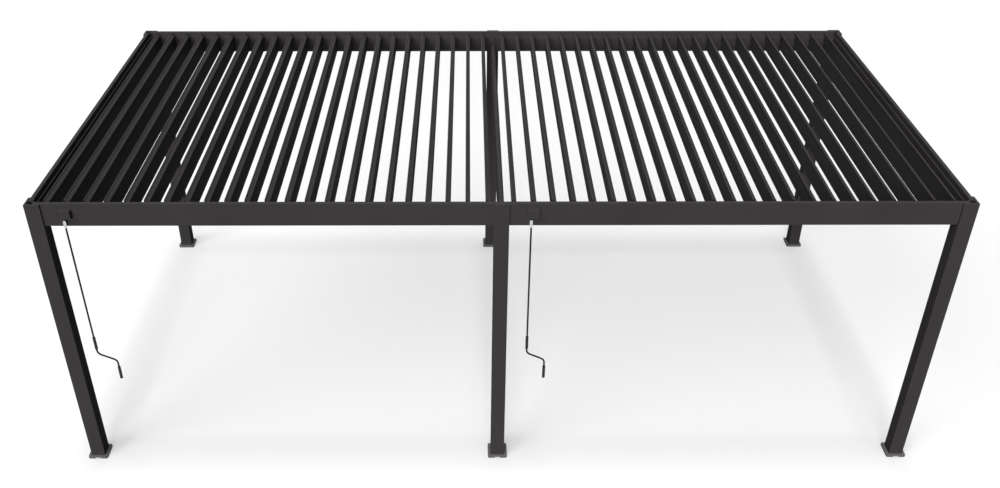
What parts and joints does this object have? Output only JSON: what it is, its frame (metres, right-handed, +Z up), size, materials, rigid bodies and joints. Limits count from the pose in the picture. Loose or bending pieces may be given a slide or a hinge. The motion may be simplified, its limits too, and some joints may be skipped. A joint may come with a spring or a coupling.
{
  "type": "louvred pergola",
  "caption": "Free-standing aluminium pergola in two bays, with a roof of tilting louvres turned by hanging cranks and gutter beams on square posts.",
  "frame": {"origin": "on the ground, in the middle of the footprint", "axes": "+X along the long side, to the right when facing the cranks; +Y from the crank side to the back; +Z up"},
  "size_m": [6.042, 3.042, 2.15],
  "materials": {
    "post_coat": "fine-textured dark grey powder coat",
    "beam_coat": "fine-textured dark grey powder coat",
    "louver_coat": "fine-textured dark grey powder coat",
    "tie_steel": "dark grey coated flat bar",
    "crank_steel": "grey coated round bar with black plastic grips"
  },
  "bodies": {
    "frame": {"middle_frame": "post_coat", "post_front_left": "post_coat", "post_front_right": "post_coat", "post_back_left": "post_coat", "post_back_right": "post_coat", "front_beam_left": "beam_coat", "front_beam_right": "beam_coat", "back_beam": "beam_coat", "side_beam_left": "beam_coat", "side_beam_right": "beam_coat"},
    "crank_left": {"crank_left": "crank_steel"},
    "louver_left_01": {"louver_left_01": "louver_coat"},
    "louver_left_02": {"louver_left_02": "louver_coat"},
    "louver_left_03": {"louver_left_03": "louver_coat"},
    "louver_left_04": {"louver_left_04": "louver_coat"},
    "louver_left_05": {"louver_left_05": "louver_coat"},
    "louver_left_06": {"louver_left_06": "louver_coat"},
    "louver_left_07": {"louver_left_07": "louver_coat"},
    "louver_left_08": {"louver_left_08": "louver_coat"},
    "louver_left_09": {"louver_left_09": "louver_coat"},
    "louver_left_10": {"louver_left_10": "louver_coat"},
    "louver_left_11": {"louver_left_11": "louver_coat"},
    "louver_left_12": {"louver_left_12": "louver_coat"},
    "louver_left_13": {"louver_left_13": "louver_coat"},
    "louver_left_14": {"louver_left_14": "louver_coat"},
    "louver_left_15": {"louver_left_15": "louver_coat"},
    "louver_left_16": {"louver_left_16": "louver_coat"},
    "louver_left_17": {"louver_left_17": "louver_coat"},
    "louver_left_18": {"louver_left_18": "louver_coat"},
    "louver_left_19": {"louver_left_19": "louver_coat"},
    "louver_left_20": {"louver_left_20": "louver_coat"},
    "louver_left_21": {"louver_left_21": "louver_coat"},
    "louver_left_22": {"louver_left_22": "louver_coat"},
    "louver_left_23": {"louver_left_23": "louver_coat"},
    "tie_bar_left": {"tie_bar_left": "tie_steel"},
    "crank_right": {"crank_right": "crank_steel"},
    "louver_right_01": {"louver_right_01": "louver_coat"},
    "louver_right_02": {"louver_right_02": "louver_coat"},
    "louver_right_03": {"louver_right_03": "louver_coat"},
    "louver_right_04": {"louver_right_04": "louver_coat"},
    "louver_right_05": {"louver_right_05": "louver_coat"},
    "louver_right_06": {"louver_right_06": "louver_coat"},
    "louver_right_07": {"louver_right_07": "louver_coat"},
    "louver_right_08": {"louver_right_08": "louver_coat"},
    "louver_right_09": {"louver_right_09": "louver_coat"},
    "louver_right_10": {"louver_right_10": "louver_coat"},
    "louver_right_11": {"louver_right_11": "louver_coat"},
    "louver_right_12": {"louver_right_12": "louver_coat"},
    "louver_right_13": {"louver_right_13": "louver_coat"},
    "louver_right_14": {"louver_right_14": "louver_coat"},
    "louver_right_15": {"louver_right_15": "louver_coat"},
    "louver_right_16": {"louver_right_16": "louver_coat"},
    "louver_right_17": {"louver_right_17": "louver_coat"},
    "louver_right_18": {"louver_right_18": "louver_coat"},
    "louver_right_19": {"louver_right_19": "louver_coat"},
    "louver_right_20": {"louver_right_20": "louver_coat"},
    "louver_right_21": {"louver_right_21": "louver_coat"},
    "louver_right_22": {"louver_right_22": "louver_coat"},
    "louver_right_23": {"louver_right_23": "louver_coat"},
    "tie_bar_right": {"tie_bar_right": "tie_steel"}
  },
  "joints": [
    {"name": "crank_left_turn", "type": "hinge", "parent": "frame", "child": "crank_left", "pos_m": [-2.76322, -1.505, 2.057], "axis": [0, 0, 1], "range_deg": [0, 1280]},
    {"name": "louver_left_01_tilt", "type": "hinge", "parent": "frame", "child": "louver_left_01", "pos_m": [-2.87827, 0, 2.07597], "axis": [0, 1, 0], "range_deg": [0, 80]},
    {"name": "louver_left_02_tilt", "type": "hinge", "parent": "frame", "child": "louver_left_02", "pos_m": [-2.75122, 0, 2.07597], "axis": [0, 1, 0], "range_deg": [0, 80]},
    {"name": "louver_left_03_tilt", "type": "hinge", "parent": "frame", "child": "louver_left_03", "pos_m": [-2.62416, 0, 2.07597], "axis": [0, 1, 0], "range_deg": [0, 80]},
    {"name": "louver_left_04_tilt", "type": "hinge", "parent": "frame", "child": "louver_left_04", "pos_m": [-2.4971, 0, 2.07597], "axis": [0, 1, 0], "range_deg": [0, 80]},
    {"name": "louver_left_05_tilt", "type": "hinge", "parent": "frame", "child": "louver_left_05", "pos_m": [-2.37005, 0, 2.07597], "axis": [0, 1, 0], "range_deg": [0, 80]},
    {"name": "louver_left_06_tilt", "type": "hinge", "parent": "frame", "child": "louver_left_06", "pos_m": [-2.24299, 0, 2.07597], "axis": [0, 1, 0], "range_deg": [0, 80]},
    {"name": "louver_left_07_tilt", "type": "hinge", "parent": "frame", "child": "louver_left_07", "pos_m": [-2.11593, 0, 2.07597], "axis": [0, 1, 0], "range_deg": [0, 80]},
    {"name": "louver_left_08_tilt", "type": "hinge", "parent": "frame", "child": "louver_left_08", "pos_m": [-1.98888, 0, 2.07597], "axis": [0, 1, 0], "range_deg": [0, 80]},
    {"name": "louver_left_09_tilt", "type": "hinge", "parent": "frame", "child": "louver_left_09", "pos_m": [-1.86182, 0, 2.07597], "axis": [0, 1, 0], "range_deg": [0, 80]},
    {"name": "louver_left_10_tilt", "type": "hinge", "parent": "frame", "child": "louver_left_10", "pos_m": [-1.73476, 0, 2.07597], "axis": [0, 1, 0], "range_deg": [0, 80]},
    {"name": "louver_left_11_tilt", "type": "hinge", "parent": "frame", "child": "louver_left_11", "pos_m": [-1.60771, 0, 2.07597], "axis": [0, 1, 0], "range_deg": [0, 80]},
    {"name": "louver_left_12_tilt", "type": "hinge", "parent": "frame", "child": "louver_left_12", "pos_m": [-1.48065, 0, 2.07597], "axis": [0, 1, 0], "range_deg": [0, 80]},
    {"name": "louver_left_13_tilt", "type": "hinge", "parent": "frame", "child": "louver_left_13", "pos_m": [-1.35359, 0, 2.07597], "axis": [0, 1, 0], "range_deg": [0, 80]},
    {"name": "louver_left_14_tilt", "type": "hinge", "parent": "frame", "child": "louver_left_14", "pos_m": [-1.22654, 0, 2.07597], "axis": [0, 1, 0], "range_deg": [0, 80]},
    {"name": "louver_left_15_tilt", "type": "hinge", "parent": "frame", "child": "louver_left_15", "pos_m": [-1.09948, 0, 2.07597], "axis": [0, 1, 0], "range_deg": [0, 80]},
    {"name": "louver_left_16_tilt", "type": "hinge", "parent": "frame", "child": "louver_left_16", "pos_m": [-0.97242, 0, 2.07597], "axis": [0, 1, 0], "range_deg": [0, 80]},
    {"name": "louver_left_17_tilt", "type": "hinge", "parent": "frame", "child": "louver_left_17", "pos_m": [-0.84537, 0, 2.07597], "axis": [0, 1, 0], "range_deg": [0, 80]},
    {"name": "louver_left_18_tilt", "type": "hinge", "parent": "frame", "child": "louver_left_18", "pos_m": [-0.71831, 0, 2.07597], "axis": [0, 1, 0], "range_deg": [0, 80]},
    {"name": "louver_left_19_tilt", "type": "hinge", "parent": "frame", "child": "louver_left_19", "pos_m": [-0.59125, 0, 2.07597], "axis": [0, 1, 0], "range_deg": [0, 80]},
    {"name": "louver_left_20_tilt", "type": "hinge", "parent": "frame", "child": "louver_left_20", "pos_m": [-0.4642, 0, 2.07597], "axis": [0, 1, 0], "range_deg": [0, 80]},
    {"name": "louver_left_21_tilt", "type": "hinge", "parent": "frame", "child": "louver_left_21", "pos_m": [-0.33714, 0, 2.07597], "axis": [0, 1, 0], "range_deg": [0, 80]},
    {"name": "louver_left_22_tilt", "type": "hinge", "parent": "frame", "child": "louver_left_22", "pos_m": [-0.21008, 0, 2.07597], "axis": [0, 1, 0], "range_deg": [0, 80]},
    {"name": "louver_left_23_tilt", "type": "hinge", "parent": "frame", "child": "louver_left_23", "pos_m": [-0.08303, 0, 2.07597], "axis": [0, 1, 0], "range_deg": [0, 80]},
    {"name": "tie_bar_left_swing", "type": "hinge", "parent": "louver_left_02", "child": "tie_bar_left", "pos_m": [-2.78296, -1.423, 2.11966], "axis": [0, 1, 0], "range_deg": [-80, 0]},
    {"name": "crank_right_turn", "type": "hinge", "parent": "frame", "child": "crank_right", "pos_m": [0.18809, -1.505, 2.057], "axis": [0, 0, 1], "range_deg": [0, 1280]},
    {"name": "louver_right_01_tilt", "type": "hinge", "parent": "frame", "child": "louver_right_01", "pos_m": [0.08303, 0, 2.07597], "axis": [0, 1, 0], "range_deg": [0, 80]},
    {"name": "louver_right_02_tilt", "type": "hinge", "parent": "frame", "child": "louver_right_02", "pos_m": [0.21008, 0, 2.07597], "axis": [0, 1, 0], "range_deg": [0, 80]},
    {"name": "louver_right_03_tilt", "type": "hinge", "parent": "frame", "child": "louver_right_03", "pos_m": [0.33714, 0, 2.07597], "axis": [0, 1, 0], "range_deg": [0, 80]},
    {"name": "louver_right_04_tilt", "type": "hinge", "parent": "frame", "child": "louver_right_04", "pos_m": [0.4642, 0, 2.07597], "axis": [0, 1, 0], "range_deg": [0, 80]},
    {"name": "louver_right_05_tilt", "type": "hinge", "parent": "frame", "child": "louver_right_05", "pos_m": [0.59125, 0, 2.07597], "axis": [0, 1, 0], "range_deg": [0, 80]},
    {"name": "louver_right_06_tilt", "type": "hinge", "parent": "frame", "child": "louver_right_06", "pos_m": [0.71831, 0, 2.07597], "axis": [0, 1, 0], "range_deg": [0, 80]},
    {"name": "louver_right_07_tilt", "type": "hinge", "parent": "frame", "child": "louver_right_07", "pos_m": [0.84537, 0, 2.07597], "axis": [0, 1, 0], "range_deg": [0, 80]},
    {"name": "louver_right_08_tilt", "type": "hinge", "parent": "frame", "child": "louver_right_08", "pos_m": [0.97242, 0, 2.07597], "axis": [0, 1, 0], "range_deg": [0, 80]},
    {"name": "louver_right_09_tilt", "type": "hinge", "parent": "frame", "child": "louver_right_09", "pos_m": [1.09948, 0, 2.07597], "axis": [0, 1, 0], "range_deg": [0, 80]},
    {"name": "louver_right_10_tilt", "type": "hinge", "parent": "frame", "child": "louver_right_10", "pos_m": [1.22654, 0, 2.07597], "axis": [0, 1, 0], "range_deg": [0, 80]},
    {"name": "louver_right_11_tilt", "type": "hinge", "parent": "frame", "child": "louver_right_11", "pos_m": [1.35359, 0, 2.07597], "axis": [0, 1, 0], "range_deg": [0, 80]},
    {"name": "louver_right_12_tilt", "type": "hinge", "parent": "frame", "child": "louver_right_12", "pos_m": [1.48065, 0, 2.07597], "axis": [0, 1, 0], "range_deg": [0, 80]},
    {"name": "louver_right_13_tilt", "type": "hinge", "parent": "frame", "child": "louver_right_13", "pos_m": [1.60771, 0, 2.07597], "axis": [0, 1, 0], "range_deg": [0, 80]},
    {"name": "louver_right_14_tilt", "type": "hinge", "parent": "frame", "child": "louver_right_14", "pos_m": [1.73476, 0, 2.07597], "axis": [0, 1, 0], "range_deg": [0, 80]},
    {"name": "louver_right_15_tilt", "type": "hinge", "parent": "frame", "child": "louver_right_15", "pos_m": [1.86182, 0, 2.07597], "axis": [0, 1, 0], "range_deg": [0, 80]},
    {"name": "louver_right_16_tilt", "type": "hinge", "parent": "frame", "child": "louver_right_16", "pos_m": [1.98888, 0, 2.07597], "axis": [0, 1, 0], "range_deg": [0, 80]},
    {"name": "louver_right_17_tilt", "type": "hinge", "parent": "frame", "child": "louver_right_17", "pos_m": [2.11593, 0, 2.07597], "axis": [0, 1, 0], "range_deg": [0, 80]},
    {"name": "louver_right_18_tilt", "type": "hinge", "parent": "frame", "child": "louver_right_18", "pos_m": [2.24299, 0, 2.07597], "axis": [0, 1, 0], "range_deg": [0, 80]},
    {"name": "louver_right_19_tilt", "type": "hinge", "parent": "frame", "child": "louver_right_19", "pos_m": [2.37005, 0, 2.07597], "axis": [0, 1, 0], "range_deg": [0, 80]},
    {"name": "louver_right_20_tilt", "type": "hinge", "parent": "frame", "child": "louver_right_20", "pos_m": [2.4971, 0, 2.07597], "axis": [0, 1, 0], "range_deg": [0, 80]},
    {"name": "louver_right_21_tilt", "type": "hinge", "parent": "frame", "child": "louver_right_21", "pos_m": [2.62416, 0, 2.07597], "axis": [0, 1, 0], "range_deg": [0, 80]},
    {"name": "louver_right_22_tilt", "type": "hinge", "parent": "frame", "child": "louver_right_22", "pos_m": [2.75122, 0, 2.07597], "axis": [0, 1, 0], "range_deg": [0, 80]},
    {"name": "louver_right_23_tilt", "type": "hinge", "parent": "frame", "child": "louver_right_23", "pos_m": [2.87827, 0, 2.07597], "axis": [0, 1, 0], "range_deg": [0, 80]},
    {"name": "tie_bar_right_swing", "type": "hinge", "parent": "louver_right_02", "child": "tie_bar_right", "pos_m": [0.17834, -1.423, 2.11966], "axis": [0, 1, 0], "range_deg": [-80, 0]}
  ],
  "couplings": [
    {"joint": "louver_left_01_tilt", "follows": "crank_left_turn", "ratio": 0.0625},
    {"joint": "louver_left_02_tilt", "follows": "crank_left_turn", "ratio": 0.0625},
    {"joint": "louver_left_03_tilt", "follows": "crank_left_turn", "ratio": 0.0625},
    {"joint": "louver_left_04_tilt", "follows": "crank_left_turn", "ratio": 0.0625},
    {"joint": "louver_left_05_tilt", "follows": "crank_left_turn", "ratio": 0.0625},
    {"joint": "louver_left_06_tilt", "follows": "crank_left_turn", "ratio": 0.0625},
    {"joint": "louver_left_07_tilt", "follows": "crank_left_turn", "ratio": 0.0625},
    {"joint": "louver_left_08_tilt", "follows": "crank_left_turn", "ratio": 0.0625},
    {"joint": "louver_left_09_tilt", "follows": "crank_left_turn", "ratio": 0.0625},
    {"joint": "louver_left_10_tilt", "follows": "crank_left_turn", "ratio": 0.0625},
    {"joint": "louver_left_11_tilt", "follows": "crank_left_turn", "ratio": 0.0625},
    {"joint": "louver_left_12_tilt", "follows": "crank_left_turn", "ratio": 0.0625},
    {"joint": "louver_left_13_tilt", "follows": "crank_left_turn", "ratio": 0.0625},
    {"joint": "louver_left_14_tilt", "follows": "crank_left_turn", "ratio": 0.0625},
    {"joint": "louver_left_15_tilt", "follows": "crank_left_turn", "ratio": 0.0625},
    {"joint": "louver_left_16_tilt", "follows": "crank_left_turn", "ratio": 0.0625},
    {"joint": "louver_left_17_tilt", "follows": "crank_left_turn", "ratio": 0.0625},
    {"joint": "louver_left_18_tilt", "follows": "crank_left_turn", "ratio": 0.0625},
    {"joint": "louver_left_19_tilt", "follows": "crank_left_turn", "ratio": 0.0625},
    {"joint": "louver_left_20_tilt", "follows": "crank_left_turn", "ratio": 0.0625},
    {"joint": "louver_left_21_tilt", "follows": "crank_left_turn", "ratio": 0.0625},
    {"joint": "louver_left_22_tilt", "follows": "crank_left_turn", "ratio": 0.0625},
    {"joint": "louver_left_23_tilt", "follows": "crank_left_turn", "ratio": 0.0625},
    {"joint": "tie_bar_left_swing", "follows": "crank_left_turn", "ratio": -0.0625},
    {"joint": "louver_right_01_tilt", "follows": "crank_right_turn", "ratio": 0.0625},
    {"joint": "louver_right_02_tilt", "follows": "crank_right_turn", "ratio": 0.0625},
    {"joint": "louver_right_03_tilt", "follows": "crank_right_turn", "ratio": 0.0625},
    {"joint": "louver_right_04_tilt", "follows": "crank_right_turn", "ratio": 0.0625},
    {"joint": "louver_right_05_tilt", "follows": "crank_right_turn", "ratio": 0.0625},
    {"joint": "louver_right_06_tilt", "follows": "crank_right_turn", "ratio": 0.0625},
    {"joint": "louver_right_07_tilt", "follows": "crank_right_turn", "ratio": 0.0625},
    {"joint": "louver_right_08_tilt", "follows": "crank_right_turn", "ratio": 0.0625},
    {"joint": "louver_right_09_tilt", "follows": "crank_right_turn", "ratio": 0.0625},
    {"joint": "louver_right_10_tilt", "follows": "crank_right_turn", "ratio": 0.0625},
    {"joint": "louver_right_11_tilt", "follows": "crank_right_turn", "ratio": 0.0625},
    {"joint": "louver_right_12_tilt", "follows": "crank_right_turn", "ratio": 0.0625},
    {"joint": "louver_right_13_tilt", "follows": "crank_right_turn", "ratio": 0.0625},
    {"joint": "louver_right_14_tilt", "follows": "crank_right_turn", "ratio": 0.0625},
    {"joint": "louver_right_15_tilt", "follows": "crank_right_turn", "ratio": 0.0625},
    {"joint": "louver_right_16_tilt", "follows": "crank_right_turn", "ratio": 0.0625},
    {"joint": "louver_right_17_tilt", "follows": "crank_right_turn", "ratio": 0.0625},
    {"joint": "louver_right_18_tilt", "follows": "crank_right_turn", "ratio": 0.0625},
    {"joint": "louver_right_19_tilt", "follows": "crank_right_turn", "ratio": 0.0625},
    {"joint": "louver_right_20_tilt", "follows": "crank_right_turn", "ratio": 0.0625},
    {"joint": "louver_right_21_tilt", "follows": "crank_right_turn", "ratio": 0.0625},
    {"joint": "louver_right_22_tilt", "follows": "crank_right_turn", "ratio": 0.0625},
    {"joint": "louver_right_23_tilt", "follows": "crank_right_turn", "ratio": 0.0625},
    {"joint": "tie_bar_right_swing", "follows": "crank_right_turn", "ratio": -0.0625}
  ]
}
